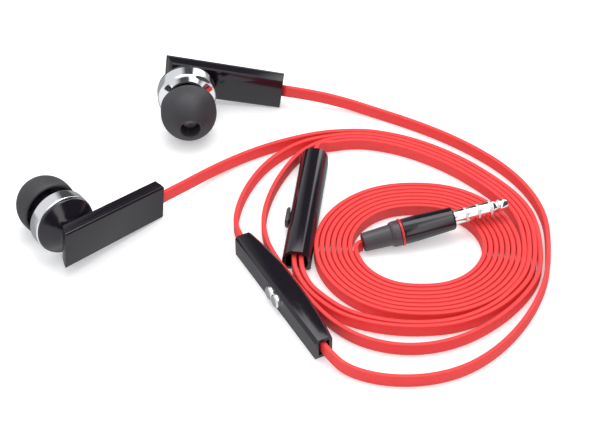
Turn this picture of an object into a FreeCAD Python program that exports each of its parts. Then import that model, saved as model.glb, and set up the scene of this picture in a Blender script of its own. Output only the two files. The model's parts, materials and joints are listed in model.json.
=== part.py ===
"""Wired in-ear earphones with a flat red cord, laid out on a table.

Two earpieces, each a canted pod on a flat bar, hang on one flat cord. The cord joins a
splitter with a volume slider, a bar with a microphone and a button, and a coil that ends
in a four-pole plug. Lengths are in millimetres, +Z is up, the table is Z = 0 and the
origin is below the middle of the two earpieces.
"""
import math
import os

import FreeCAD
import Part
from FreeCAD import Placement, Rotation, Vector

# From the laying-out point to the middle below the two earpieces
ORIGIN_SHIFT = (-0.26, 1.94)

# Cord
CORD_WIDTH = 3.1
CORD_THICKNESS = 0.92
CORD_LIFT = 0.03
CORD_MID = CORD_WIDTH / 2 + CORD_LIFT
STRAND_STEP = 1.3
EAR_RUN = 7.5
EAR_APPROACH_Z = 2.2

# Coil of the main cord
COIL_TURNS = 8
COIL_PITCH = 1.34
COIL_RADIUS = 13.8
COIL_LEFT = (63.0, -30.0)
COIL_STRAIGHT = 2.25
COIL_START_RUN = 0.58
COIL_START_BEND = 1.39

# Earpiece bar, measured from its cord end
BAR_LENGTH = 31.0
BAR_THICKNESS = 3.6
BAR_HEIGHT = 9.1
BAR_FLARE = 0.4
BAR_SLANT = 2.1
BAR_WALL = 0.8
BAR_CHAMFER = 0.35
COVER_THICKNESS = 0.9
SEAM = 0.25
CLAMP_LENGTH = 4.0
CLAMP_WIDTH = 3.3
CLAMP_THICKNESS = 1.2
WIRE_HOLE = 1.2
WIRE_RADIUS = 0.2
WIRE_GAP = 0.45

# Earpiece pod, measured along its axis from the bar's inner face
POD_SETBACK = 5.7
POD_RISE = 0.5
POD_TURN = 12.0
POD_CANT = -1.2
NECK_RADIUS = 3.0
NECK_FLARE = 0.6
CUP_THROAT = 5.0
CUP_END = 4.3
CUP_WALL = 0.9
RING_END = 8.2
RING_RADIUS = 7.5
RING_WALL = 0.85
RING_BEVEL = 0.45
RING_FACE_RADIUS = 5.3
RING_FACE_DEPTH = 0.9
RING_FACE_WALL = 0.55
SKIRT_WALL = 0.8
FRONT_DEPTH = 1.7
NOZZLE_RADIUS = 2.2
NOZZLE_BORE = 1.5
NOZZLE_END = 17.7
LIP_RADIUS = 2.38
LIP_LENGTH = 1.4
MESH_RADIUS = 1.85
MESH_THICKNESS = 0.25

# Silicone ear tip
TIP_START = 11.2
TIP_END = 20.4
TIP_RADIUS = 7.1
TIP_NOSE_RADIUS = 3.0
TIP_FULLEST = 2.6
TIP_SKIN = 0.7
SLEEVE_WALL = 0.75
TIP_CLEARANCE = 0.06
TIP_HEEL_GAP = 0.1

# Driver
DRIVER_GAP = 0.05
DRIVER_BACK = 3.6
DRIVER_DEPTH = 3.4
FRAME_WALL = 0.6
YOKE_RADIUS = 4.0
YOKE_WALL = 0.5
MAGNET_RADIUS = 2.9
MAGNET_DEPTH = 1.6
POLE_DEPTH = 0.5
COIL_GAP = 0.15
VOICE_COIL_WALL = 0.2
VOICE_COIL_DEPTH = 1.6
DIAPHRAGM_SKIN = 0.12
DIAPHRAGM_RISE = 0.5
DOME_TOP = 1.2

# Where each earpiece lies: the outer corner of its cord end and the heading of its bar
LEFT_EAR = (2.75, -16.1, -133.7)
RIGHT_EAR = (30.95, 31.7, 174.8)

# Splitter with the volume slider
SPLITTER_NEAR = (35.15, -35.0)
SPLITTER_HEADING = 83.4
SPLITTER_LENGTH = 39.4
SPLITTER_WIDTH = 6.8
SPLITTER_TOP_WIDTH = 2.4
SPLITTER_HEIGHT = 5.6
SPLITTER_SEAM = 2.6
SPLITTER_WALL = 0.8
MOUTH_DEPTH = 5.0
BLOCK_LENGTH = 4.0
BRANCH_SPREAD = 1.7
SLOT_HEIGHT = 1.3
KNOB_LENGTH = 5.0
KNOB_HEIGHT = 2.4
KNOB_PROUD = 1.0
KNOB_AT = 15.5
VOLUME_MIDDLE = 19.2
VOLUME_TRAVEL = 9.0
KNOB_CLEARANCE = 0.1
BOARD_THICKNESS = 0.6

# Microphone bar
MIC_CORNER = (20.7, -29.5)
MIC_HEADING = -62.3
MIC_LENGTH = 40.2
MIC_END_WIDTH = 4.3
MIC_WIDTH = 6.0
MIC_HEIGHT = 5.4
MIC_WALL = 0.8
PLATE_THICKNESS = 0.9
MIC_BEVEL = 0.7
CORD_EXIT_Z = 2.7
BUTTON_Z = 2.65
SOUND_HOLE_FROM_BUTTON = 9.0
BUTTON_RADIUS = 1.7
BUTTON_PITCH = 2.9
BUTTON_PROUD = 0.9
BUTTON_TRAVEL = 0.4
BUTTON_CLEARANCE = 0.08
BUTTON_FLANGE = 0.4
MIC_HOLE = 0.4
CAPSULE_RADIUS = 1.5
CAPSULE_DEPTH = 1.1
MIC_RECESS = 1.5
MIC_CAVITY_START = 3.5

# Plug, measured along its axis from the cord end
PLUG_REAR = (50.785, -28.15)
PLUG_HEADING = 15.2
PLUG_REAR_Z = 2.4
PLUG_TILT = 6.6
RELIEF_RADIUS = 2.2
RELIEF_LENGTH = 7.0
RELIEF_END_RADIUS = 2.6
COLLAR_RADIUS = 3.1
BAND_START = 9.3
BAND_LENGTH = 0.6
BAND_RADIUS = 3.3
BARREL_END = 22.8
BARREL_RADIUS = 3.1
BARREL_NOSE_RADIUS = 2.75
JACK_RADIUS = 1.75
SLEEVE_LENGTH = 2.75
POLE_LENGTH = 2.6
INSULATOR_LENGTH = 0.5
TIP_LENGTH = 4.3
TIP_WAIST = 1.2
TIP_POINT_RADIUS = 0.9
CORE_RADIUS = 0.9

# Free stretches of cord, as plan points from the plug's side outwards
BAND_ROUTE = [(86.4, -13.6), (80.4, -5.8), (72.9, 1.6), (63.5, 7.8), (54.5, 10.9), (48.6, 11.2)]
MAIN_LAST = [(43.2, 9.9)]
LEFT_CORD_FIRST = [(37.9, -42.8), (41.3, -47.2), (46.4, -52.1), (53.8, -55.1), (62.2, -56.3),
                   (71.6, -55.2), (80.4, -50.3), (87.2, -42.0), (89.6, -35.8)]
LEFT_CORD_BEHIND_BAR = [(42.6, 11.3), (38.0, 8.2), (34.4, 3.9), (30.8, -3.6), (28.4, -11.0),
                        (27.1, -19.0), (27.7, -26.6), (30.1, -33.4), (33.8, -40.5), (38.2, -48.3),
                        (43.2, -55.6), (50.2, -61.4), (60.4, -64.0), (71.6, -61.5), (81.9, -54.0),
                        (89.4, -44.6), (92.6, -36.4)]
LEFT_CORD_LAST = [(41.2, 14.3), (32.4, 11.3), (23.2, 6.6), (14.4, -0.6)]
MIC_CORD_FIRST = [(36.4, -42.8), (40.0, -48.3), (45.5, -53.6), (53.6, -56.6), (62.3, -57.6),
                  (72.3, -56.4), (81.5, -51.2), (88.7, -42.6), (90.9, -36.0)]
MIC_CORD_LAST = [(43.1, 12.7), (37.2, 10.9), (32.1, 7.2), (27.3, 1.6), (23.7, -5.4), (21.3, -13.0),
                 (20.4, -20.0)]
RIGHT_CORD = [(46.6, -70.4), (54.6, -73.3), (64.4, -73.2), (73.6, -69.7), (81.9, -62.3), (88.7, -52.2),
              (93.5, -40.4), (95.0, -28.0), (95.2, -19.0), (93.0, -10.0), (88.4, -1.3), (81.8, 6.4),
              (73.6, 13.4), (64.6, 19.3), (55.6, 24.2), (47.2, 27.9)]


def line(a, b):
    return Part.LineSegment(a, b).toShape()


def arc(a, b, c):
    return Part.Arc(a, b, c).toShape()


def outline(start, steps):
    """A closed profile of (along, radius) points; a step of two points is an arc through the first."""
    def at(p):
        return Vector(p[0], 0, p[1])

    edges = []
    here = start
    for step in list(steps) + [start]:
        if isinstance(step[0], tuple):
            edges.append(arc(at(here), at(step[0]), at(step[1])))
            here = step[1]
        elif math.dist(here, step) > 1e-6:
            edges.append(line(at(here), at(step)))
            here = step
    return Part.Face(Part.Wire(edges))


def turned(start, *steps):
    """A solid of revolution about X from a profile of (along, radius) points."""
    return outline(start, steps).revolve(Vector(0, 0, 0), Vector(1, 0, 0), 360)


def disc(start, end, radius):
    return Part.makeCylinder(radius, end - start, Vector(start, 0, 0), Vector(1, 0, 0))


def tube(start, end, radius, bore):
    return disc(start, end, radius).cut(disc(start - 1, end + 1, bore))


def block(x, y, z):
    """A box between the two values of each pair."""
    return Part.makeBox(x[1] - x[0], y[1] - y[0], z[1] - z[0], Vector(x[0], y[0], z[0]))


def prism(points, direction):
    """A solid drawn from a closed polygon along a direction."""
    return Part.Face(Part.makePolygon(list(points) + [points[0]])).extrude(direction)


def heading(degrees, rise=0.0):
    """A unit vector at a plan heading and a slope, both in degrees."""
    turn = math.radians(degrees)
    slope = math.radians(rise)
    return Vector(math.cos(turn) * math.cos(slope), math.sin(turn) * math.cos(slope), math.sin(slope))


def lay(x, y, z, turn, tilt=0.0):
    """Stands a piece built along +X on its plan place and heading, tilted up by tilt."""
    spin = Rotation(Vector(0, 0, 1), turn).multiply(Rotation(Vector(0, 1, 0), -tilt))
    return Placement(Vector(x, y, z), spin)


def placed(shape, placement):
    moved = shape.copy()
    moved.Placement = placement.multiply(moved.Placement)
    return moved


# Pod of one earpiece, along +X from the bar's inner face
def pod_pieces():
    skirt = RING_RADIUS - RING_WALL
    bore = skirt - SKIRT_WALL
    rim = RING_RADIUS - 0.15
    face_back = RING_END + RING_FACE_DEPTH - RING_FACE_WALL
    cup = turned(
        (-1.5, 0), (-1.5, NECK_RADIUS), (NECK_FLARE, NECK_RADIUS), (NECK_FLARE + 1.3, CUP_THROAT),
        (CUP_END - 0.6, rim), (CUP_END, rim), (CUP_END, 0))
    hollow = turned(
        (-2, 0), (-2, WIRE_HOLE), (1.2, WIRE_HOLE), (1.2, NECK_RADIUS - CUP_WALL),
        (DRIVER_BACK - 0.6, skirt - 2 * CUP_WALL), (DRIVER_BACK, skirt), (CUP_END, skirt), (CUP_END, 0))
    ring = turned(
        (CUP_END, skirt), (CUP_END, rim), (CUP_END + RING_BEVEL / 2, RING_RADIUS),
        (RING_END - RING_BEVEL, RING_RADIUS), (RING_END, RING_RADIUS - RING_BEVEL),
        (RING_END + RING_FACE_DEPTH, RING_FACE_RADIUS), (face_back, RING_FACE_RADIUS), (RING_END - 0.1, skirt))
    shoulder = RING_END + FRONT_DEPTH
    lip = NOZZLE_END - LIP_LENGTH
    front = turned(
        (DRIVER_BACK, 0), (DRIVER_BACK, skirt), (RING_END - 0.1, skirt), (face_back, RING_FACE_RADIUS),
        (RING_END + RING_FACE_DEPTH, RING_FACE_RADIUS), (shoulder, NOZZLE_RADIUS + 1.4), (shoulder, NOZZLE_RADIUS),
        (lip, NOZZLE_RADIUS), (lip, LIP_RADIUS), (NOZZLE_END - 0.5, LIP_RADIUS),
        (NOZZLE_END, LIP_RADIUS - 0.3), (NOZZLE_END, 0))
    chamber = turned(
        (DRIVER_BACK - 1, 0), (DRIVER_BACK - 1, bore), (DRIVER_BACK + DRIVER_DEPTH, bore),
        (DRIVER_BACK + DRIVER_DEPTH, bore - 1.0), (DRIVER_BACK + DRIVER_DEPTH + 0.4, bore - 1.4),
        (DRIVER_BACK + DRIVER_DEPTH + 0.9, NOZZLE_BORE),
        (NOZZLE_END + 1, NOZZLE_BORE), (NOZZLE_END + 1, 0))
    mesh_seat = NOZZLE_END - 2 * MESH_THICKNESS
    return {
        "rear_cup": cup.cut(hollow),
        "chrome_ring": ring,
        "front_housing": front.cut(chamber).cut(disc(mesh_seat, NOZZLE_END + 1, MESH_RADIUS)),
        "nozzle_mesh": disc(mesh_seat, mesh_seat + MESH_THICKNESS, MESH_RADIUS),
        "ear_tip": ear_tip(),
        **driver_pieces(bore - DRIVER_GAP),
    }


def ear_tip():
    """A mushroom of silicone: a sleeve on the nozzle and a dome that opens back towards the housing."""
    bore = LIP_RADIUS + TIP_CLEARANCE
    sleeve = bore + SLEEVE_WALL
    heel = RING_END + FRONT_DEPTH + TIP_HEEL_GAP
    web = TIP_END - 3.4
    skirt = TIP_RADIUS - 0.25
    return turned(
        (heel, bore), (heel, sleeve), (web, sleeve), (web, TIP_RADIUS - 2.6 - TIP_SKIN),
        (TIP_START + 4.7, TIP_RADIUS - 0.6 - TIP_SKIN), (TIP_START + TIP_FULLEST, TIP_RADIUS - TIP_SKIN),
        (TIP_START, skirt - TIP_SKIN / 2), (TIP_START, skirt), (TIP_START + TIP_FULLEST, TIP_RADIUS),
        ((TIP_END - 2.4, TIP_RADIUS - 1.75), (TIP_END - 0.25, TIP_NOSE_RADIUS + 0.45)),
        (TIP_END, TIP_NOSE_RADIUS), (TIP_END, bore))


def driver_pieces(radius):
    """A moving-coil driver: a frame that holds a yoke, magnet and pole plate, a coil and its diaphragm."""
    front = DRIVER_BACK + DRIVER_DEPTH
    yoke_end = front - 1.2
    yoke_start = yoke_end - POLE_DEPTH - MAGNET_DEPTH - YOKE_WALL
    yoke = disc(yoke_start, yoke_end, YOKE_RADIUS).cut(
        disc(yoke_start + YOKE_WALL, yoke_end + 1, YOKE_RADIUS - YOKE_WALL))
    magnet = disc(yoke_start + YOKE_WALL, yoke_end - POLE_DEPTH, MAGNET_RADIUS)
    pole = disc(yoke_end - POLE_DEPTH, yoke_end, MAGNET_RADIUS)
    coil_bore = MAGNET_RADIUS + COIL_GAP
    coil_end = front - FRAME_WALL
    seat = front - DIAPHRAGM_SKIN
    frame = tube(yoke_start + YOKE_WALL, seat, radius, YOKE_RADIUS).cut(
        disc(yoke_start + YOKE_WALL + FRAME_WALL, front + 1, radius - FRAME_WALL))
    coil_rim = coil_bore + VOICE_COIL_WALL
    dome_end = coil_end + DIAPHRAGM_RISE
    dish = turned(
        (coil_end, 0), (coil_end, coil_rim), (seat, coil_rim + 1.0), (seat, radius), (front, radius),
        (front, coil_rim + 1.0), (coil_end + DIAPHRAGM_SKIN, coil_rim),
        (dome_end + DIAPHRAGM_SKIN, DOME_TOP), (dome_end + DIAPHRAGM_SKIN, 0))
    under = turned((coil_end - 1, 0), (coil_end - 1, coil_bore), (coil_end, coil_bore), (dome_end, DOME_TOP),
                   (dome_end, 0))
    return {
        "driver_frame": frame,
        "driver_yoke": yoke,
        "driver_magnet": magnet,
        "pole_plate": pole,
        "voice_coil": tube(coil_end - VOICE_COIL_DEPTH, coil_end, coil_rim, coil_bore),
        "diaphragm": dish.cut(under),
    }


# Bar of one earpiece: X runs from its cord end to its pod end, Y from its outer to its inner face
def bar_slice(y0, y1):
    """The bar between two depths, with its tapered height and its slanted pod end."""
    def end(y):
        return BAR_LENGTH - BAR_SLANT * y / BAR_THICKNESS

    tall = BAR_HEIGHT + 2 * BAR_FLARE + 2
    plan = prism([Vector(0, y0, -1), Vector(end(y0), y0, -1), Vector(end(y1), y1, -1), Vector(0, y1, -1)],
                 Vector(0, 0, tall))
    side = prism([Vector(0, -1, 0), Vector(BAR_LENGTH, -1, -BAR_FLARE),
                  Vector(BAR_LENGTH, -1, BAR_HEIGHT + BAR_FLARE), Vector(0, -1, BAR_HEIGHT)],
                 Vector(0, BAR_THICKNESS + 2, 0))
    return plan.common(side)


def long_edges(shape, y):
    """The edges that run along the bar at one depth."""
    return [e for e in shape.Edges
            if all(abs(v.Y - y) < 1e-3 for v in e.Vertexes) and e.BoundBox.XLength > BAR_LENGTH / 2]


def pod_frame():
    """Stands the pod on the bar's inner face, turned towards the cord and canted up."""
    return Placement(
        Vector(BAR_LENGTH - POD_SETBACK, BAR_THICKNESS, BAR_HEIGHT / 2 + POD_RISE),
        lay(0, 0, 0, 90 + POD_TURN, POD_CANT).Rotation)


def bar_pieces():
    cover = bar_slice(0, COVER_THICKNESS)
    cover = cover.makeChamfer(BAR_CHAMFER, long_edges(cover, 0))
    body = bar_slice(COVER_THICKNESS, BAR_THICKNESS)
    body = body.makeChamfer(BAR_CHAMFER, long_edges(body, BAR_THICKNESS))
    body = body.makeChamfer(SEAM, long_edges(body, COVER_THICKNESS))
    mid_y = BAR_THICKNESS / 2
    mid_z = BAR_HEIGHT / 2
    floor = BAR_THICKNESS - BAR_WALL
    pocket = block((BAR_WALL, BAR_LENGTH - BAR_SLANT - 1.5 * BAR_WALL), (COVER_THICKNESS - 1, floor),
                   (BAR_WALL, BAR_HEIGHT - BAR_WALL))
    tongue = block((0, CLAMP_LENGTH), (mid_y - CLAMP_THICKNESS / 2, mid_y + CLAMP_THICKNESS / 2),
                   (mid_z - CLAMP_WIDTH / 2, mid_z + CLAMP_WIDTH / 2))
    collar = block((BAR_WALL, BAR_WALL + 1.6), (COVER_THICKNESS, floor), (BAR_WALL + 0.6, BAR_HEIGHT - BAR_WALL - 0.6))
    hole = placed(disc(-BAR_THICKNESS, 1, WIRE_HOLE), pod_frame())
    return {
        "stem_cover": cover,
        "stem_body": body.cut(pocket).cut(tongue).cut(hole),
        "cord_clamp": collar.fuse(tongue).removeSplitter(),
        "lead_wires": lead_wires(mid_y, mid_z),
    }


def lead_wires(mid_y, mid_z):
    """Two enamelled wires from the clamp along the bar, through the neck and up to the driver."""
    pod = pod_frame()
    depth = mid_y - BAR_THICKNESS
    reach = DRIVER_BACK + DRIVER_DEPTH - 1.3 - POLE_DEPTH - MAGNET_DEPTH - YOKE_WALL
    wires = []
    for side in (-WIRE_GAP, WIRE_GAP):
        start = Vector(CLAMP_LENGTH, mid_y, mid_z + side)
        knee = pod.multVec(Vector(depth, 0, side))
        end = pod.multVec(Vector(reach - 0.1, 0, side))
        way = (knee - start).normalize()
        up = Vector(0, 0, WIRE_RADIUS)
        across = up.cross(way)
        wires.append(swept(bent_path([start, knee, end]),
                           Part.makePolygon([start + up, start + across, start - up, start - across, start + up])))
    return Part.makeCompound(wires)


def rest_pitch():
    """How far the bar pitches up about its cord end so that the chrome ring or the tip rests on the table."""
    rests = ((CUP_END, RING_RADIUS), (RING_END, RING_RADIUS), (TIP_START + TIP_FULLEST, TIP_RADIUS))

    def lowest(pitch):
        frame = lay(0, 0, 0, 0, pitch).multiply(pod_frame())
        axis = frame.Rotation.multVec(Vector(1, 0, 0))
        upright = math.sqrt(1 - axis.z ** 2)
        return min(frame.multVec(Vector(along, 0, 0)).z - radius * upright for along, radius in rests)

    low, high = 0.0, 30.0
    for _ in range(40):
        middle = (low + high) / 2
        if lowest(middle) < 0:
            low = middle
        else:
            high = middle
    return high


def earpiece(side, spot):
    """All pieces of one earpiece, laid on the table, with where its cord leaves and how its tip pulls off."""
    x, y, turn = spot
    where = lay(x, y, 0, turn).multiply(lay(0, 0, 0, 0, rest_pitch()))
    pieces = bar_pieces()
    face = block((-1, BAR_LENGTH + 1), (-BAR_THICKNESS, BAR_THICKNESS), (-2, BAR_HEIGHT + 2))
    for name, shape in pod_pieces().items():
        pieces[name] = placed(shape, pod_frame())
    pieces["rear_cup"] = pieces["rear_cup"].cut(face)
    if side < 0:
        pieces = {name: shape.mirror(Vector(0, 0, 0), Vector(0, 1, 0)) for name, shape in pieces.items()}
    pieces = {name: placed(shape, where) for name, shape in pieces.items()}
    exit_point = where.multVec(Vector(0, side * BAR_THICKNESS / 2, BAR_HEIGHT / 2))
    exit_way = where.Rotation.multVec(Vector(-1, 0, 0))
    pull = pod_frame().Rotation.multVec(Vector(1, 0, 0))
    pull_way = where.Rotation.multVec(Vector(pull.x, side * pull.y, pull.z))
    return pieces, exit_point, exit_way, pull_way


# Splitter: X runs from its open mouth to its closed end, the slider is on its +Y side
def splitter_section(inset):
    """The splitter's half-round section, or the same drawn in by a wall."""
    half = SPLITTER_WIDTH / 2 - inset
    flat = SPLITTER_TOP_WIDTH / 2 - inset / 2
    low = inset
    high = SPLITTER_HEIGHT - inset
    shoulder = SPLITTER_SEAM

    def at(y, z):
        return Vector(0, y, z)

    bulge = 0.5 * (half + flat) + 0.42
    rise = 0.5 * (shoulder + high) + 0.42
    return Part.Face(Part.Wire([
        line(at(-half + 0.5, low), at(half - 0.5, low)),
        line(at(half - 0.5, low), at(half, low + 0.5)),
        line(at(half, low + 0.5), at(half, shoulder)),
        arc(at(half, shoulder), at(bulge, rise), at(flat, high)),
        line(at(flat, high), at(-flat, high)),
        arc(at(-flat, high), at(-bulge, rise), at(-half, shoulder)),
        line(at(-half, shoulder), at(-half, low + 0.5)),
        line(at(-half, low + 0.5), at(-half + 0.5, low))]))


def splitter_pieces():
    far = SPLITTER_LENGTH
    half = SPLITTER_WIDTH / 2
    inner = half - SPLITTER_WALL
    outer = splitter_section(0).extrude(Vector(far, 0, 0))
    core = splitter_section(SPLITTER_WALL)
    hollow = core.extrude(Vector(far - 2 * SPLITTER_WALL, 0, 0))
    shell = outer.cut(hollow)
    stem = KNOB_LENGTH / 2
    reach = (VOLUME_TRAVEL + stem) / 2 + KNOB_CLEARANCE
    slot = block((VOLUME_MIDDLE - reach, VOLUME_MIDDLE + reach), (inner - 1, half + 1),
                 (SPLITTER_SEAM - SLOT_HEIGHT / 2, SPLITTER_SEAM + SLOT_HEIGHT / 2))
    lower_space = block((-1, far + 1), (-half - 1, half + 1), (-1, SPLITTER_SEAM))
    shell = shell.cut(slot)
    block_end = MOUTH_DEPTH + BLOCK_LENGTH
    wedge = core.extrude(Vector(BLOCK_LENGTH, 0, 0))
    wedge.translate(Vector(MOUTH_DEPTH, 0, 0))
    mid = SPLITTER_SEAM
    stem_half = SLOT_HEIGHT / 2 - KNOB_CLEARANCE
    knob = block((KNOB_AT - KNOB_LENGTH / 2, KNOB_AT + KNOB_LENGTH / 2),
                 (half + KNOB_CLEARANCE, half + KNOB_PROUD), (mid - KNOB_HEIGHT / 2, mid + KNOB_HEIGHT / 2))
    rims = [e for e in knob.Edges if all(abs(v.Y - half - KNOB_PROUD) < 1e-3 for v in e.Vertexes)]
    knob = knob.makeChamfer(0.3, rims)
    for rib in (-1.0, 0.0, 1.0):
        groove = KNOB_AT + rib * KNOB_LENGTH / 5
        knob = knob.cut(block((groove - 0.15, groove + 0.15), (half + KNOB_PROUD - 0.2, half + KNOB_PROUD + 1),
                              (mid - KNOB_HEIGHT, mid + KNOB_HEIGHT)))
    stem_end = inner - KNOB_CLEARANCE
    knob = knob.fuse(block((KNOB_AT - stem / 2, KNOB_AT + stem / 2), (stem_end, half + KNOB_PROUD - 0.4),
                           (mid - stem_half, mid + stem_half))).removeSplitter()
    wiper = block((KNOB_AT - stem / 2, KNOB_AT + stem / 2), (stem_end - 0.5, stem_end),
                  (mid - stem_half - 0.2, mid + stem_half + 0.2))
    board_face = stem_end - 0.5 - KNOB_CLEARANCE
    board = block((block_end + 0.5, far - 2 * SPLITTER_WALL - 0.5), (board_face - BOARD_THICKNESS, board_face),
                  (SPLITTER_WALL, SPLITTER_HEIGHT - 2.2 * SPLITTER_WALL))
    return {
        "splitter_upper_shell": shell.cut(lower_space),
        "splitter_lower_shell": shell.common(lower_space),
        "splitter_cord_block": wedge,
        "volume_knob": knob,
        "volume_wiper": wiper,
        "volume_board": board,
    }


def splitter_frame():
    return lay(SPLITTER_NEAR[0], SPLITTER_NEAR[1], 0, SPLITTER_HEADING)


# Microphone bar: X runs from its far end to its near end, the button is on its flat -Y side
def mic_plan(inset_side, inset_back, start, end, low, high):
    """The bar's plan with its swelling back, drawn up between two heights."""
    middle = MIC_LENGTH / 2

    def back(x):
        share = (x - middle) / middle
        return MIC_WIDTH - (MIC_WIDTH - MIC_END_WIDTH) * share ** 2 - inset_back

    def at(x, y):
        return Vector(x, y, low)

    face = Part.Face(Part.Wire([
        line(at(start, inset_side), at(end, inset_side)),
        line(at(end, inset_side), at(end, back(end))),
        arc(at(end, back(end)), at((start + end) / 2, back((start + end) / 2)), at(start, back(start))),
        line(at(start, back(start)), at(start, inset_side))]))
    return face.extrude(Vector(0, 0, high - low))


def button_shape(radius, y0, y1, edge=0.0):
    """Two overlapping round lobes side by side along the bar, with an eased front edge."""
    lobes = []
    for side in (-1, 1):
        lobe = turned((y0, 0), (y0, radius - edge), (y0 + edge, radius), (y1, radius), (y1, 0))
        lobes.append(placed(lobe, lay(MIC_LENGTH / 2 + side * BUTTON_PITCH / 2, 0, BUTTON_Z, 90)))
    return lobes[0].fuse(lobes[1]).removeSplitter()


def mic_pieces():
    outer = mic_plan(0, 0, 0, MIC_LENGTH, 0, MIC_HEIGHT)
    ridge = [e for e in outer.Edges
             if all(abs(v.Z - MIC_HEIGHT) < 1e-3 for v in e.Vertexes) and e.BoundBox.XLength > MIC_LENGTH / 2]
    outer = outer.makeChamfer(MIC_BEVEL, ridge)
    cavity_top = MIC_HEIGHT - MIC_BEVEL - SEAM
    plate_zone = block((-1, MIC_LENGTH + 1), (-1, PLATE_THICKNESS), (-1, cavity_top))
    cavity = mic_plan(PLATE_THICKNESS, MIC_WALL, MIC_CAVITY_START, MIC_LENGTH - MIC_CAVITY_START,
                      MIC_WALL, cavity_top)
    mid_y = MIC_END_WIDTH / 2
    mouths = [block((x - MIC_RECESS, x + MIC_RECESS), (PLATE_THICKNESS, MIC_END_WIDTH - MIC_WALL),
                    (MIC_WALL, MIC_HEIGHT - MIC_WALL)) for x in (0, MIC_LENGTH)]
    sound_x = MIC_LENGTH / 2 - SOUND_HOLE_FROM_BUTTON
    sound_z = MIC_HEIGHT / 2
    sound_hole = Part.makeCylinder(MIC_HOLE, MIC_WIDTH, Vector(sound_x, mid_y, sound_z), Vector(0, 1, 0))
    shell = outer.cut(plate_zone).cut(cavity).cut(sound_hole)
    for mouth in mouths:
        shell = shell.cut(mouth)
    plate = outer.common(plate_zone).cut(button_shape(BUTTON_RADIUS + BUTTON_CLEARANCE, -1, PLATE_THICKNESS + 1))
    heel = PLATE_THICKNESS + BUTTON_CLEARANCE
    button = button_shape(BUTTON_RADIUS, -BUTTON_PROUD, heel, 0.3)
    flange = button_shape(BUTTON_RADIUS + 0.3, heel, heel + BUTTON_FLANGE).common(
        block((0, MIC_LENGTH), (0, MIC_WIDTH), (MIC_WALL + BUTTON_CLEARANCE, cavity_top - BUTTON_CLEARANCE)))
    button = button.fuse(flange).removeSplitter()
    press_end = heel + BUTTON_FLANGE + BUTTON_TRAVEL + 0.05
    middle = MIC_LENGTH / 2
    switch = block((middle - 1.5, middle + 1.5), (press_end + 0.25, press_end + 1.1),
                   (BUTTON_Z - 1.3, BUTTON_Z + 1.3))
    plunger = Part.makeCylinder(0.8, 0.25, Vector(middle, press_end, BUTTON_Z), Vector(0, 1, 0))
    board_y = press_end + 1.1
    board = block((MIC_CAVITY_START + 2, MIC_LENGTH - MIC_CAVITY_START - 2), (board_y, board_y + BOARD_THICKNESS),
                  (MIC_WALL, cavity_top - 0.1))
    capsule = Part.makeCylinder(CAPSULE_RADIUS, CAPSULE_DEPTH, Vector(sound_x, board_y + BOARD_THICKNESS, sound_z),
                                Vector(0, 1, 0))
    return {
        "mic_housing": shell,
        "mic_side_plate": plate,
        "mic_button": button,
        "mic_switch": switch.fuse(plunger),
        "mic_board": board,
        "mic_capsule": capsule,
    }


def mic_frame():
    return lay(MIC_CORNER[0], MIC_CORNER[1], 0, MIC_HEADING)


# Plug, along +X from its cord end
def plug_pieces():
    relief = turned(
        (-1, 0), (-1, RELIEF_RADIUS), (RELIEF_LENGTH, RELIEF_END_RADIUS), (RELIEF_LENGTH + 0.3, COLLAR_RADIUS - 0.2),
        (RELIEF_LENGTH + 0.6, COLLAR_RADIUS), (BAND_START, COLLAR_RADIUS), (BAND_START, 0))
    band_end = BAND_START + BAND_LENGTH
    band = turned((BAND_START, 0), (BAND_START, BAND_RADIUS - 0.1), (BAND_START + 0.1, BAND_RADIUS),
                  (band_end - 0.1, BAND_RADIUS), (band_end, BAND_RADIUS - 0.1), (band_end, 0))
    barrel = turned((band_end, 0), (band_end, BARREL_RADIUS), (band_end + 3.5, BARREL_RADIUS),
                    (BARREL_END - 0.3, BARREL_NOSE_RADIUS), (BARREL_END, BARREL_NOSE_RADIUS - 0.3), (BARREL_END, 0))
    core_start = band_end + 2
    stations = [BARREL_END]
    for length in (SLEEVE_LENGTH, INSULATOR_LENGTH, POLE_LENGTH, INSULATOR_LENGTH, POLE_LENGTH, INSULATOR_LENGTH):
        stations.append(stations[-1] + length)
    core = disc(core_start, stations[6], CORE_RADIUS)
    insulator = core
    for k in (1, 3, 5):
        insulator = insulator.fuse(disc(stations[k], stations[k + 1], JACK_RADIUS))
    tip_start = stations[6]
    tip_end = tip_start + TIP_LENGTH
    tip = turned(
        (tip_start, 0), (tip_start, JACK_RADIUS), (tip_start + 0.3, JACK_RADIUS),
        (tip_start + 1.2, TIP_WAIST), (tip_start + 2.0, JACK_RADIUS - 0.15),
        ((tip_end - 0.7, 0.5 * (JACK_RADIUS + TIP_POINT_RADIUS) + 0.05), (tip_end, TIP_POINT_RADIUS)), (tip_end, 0))
    upright = lay(PLUG_REAR[0], PLUG_REAR[1], 0, PLUG_HEADING)
    wide = 3 * COLLAR_RADIUS
    behind = placed(block((-wide, 0), (-wide, wide), (-wide, wide)), upright)
    pieces = {
        "plug_strain_relief": relief,
        "plug_band": band.cut(disc(BAND_START - 1, band_end + 1, CORE_RADIUS)),
        "plug_barrel": barrel.cut(core),
        "plug_sleeve": tube(stations[0], stations[1], JACK_RADIUS, CORE_RADIUS),
        "plug_rear_ring": tube(stations[2], stations[3], JACK_RADIUS, CORE_RADIUS),
        "plug_front_ring": tube(stations[4], stations[5], JACK_RADIUS, CORE_RADIUS),
        "plug_insulator": insulator.removeSplitter(),
        "plug_tip": tip,
    }
    pieces = {name: placed(shape, plug_frame()) for name, shape in pieces.items()}
    pieces["plug_strain_relief"] = pieces["plug_strain_relief"].cut(behind)
    return pieces


def plug_frame():
    return lay(PLUG_REAR[0], PLUG_REAR[1], PLUG_REAR_Z, PLUG_HEADING, PLUG_TILT)


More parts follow.
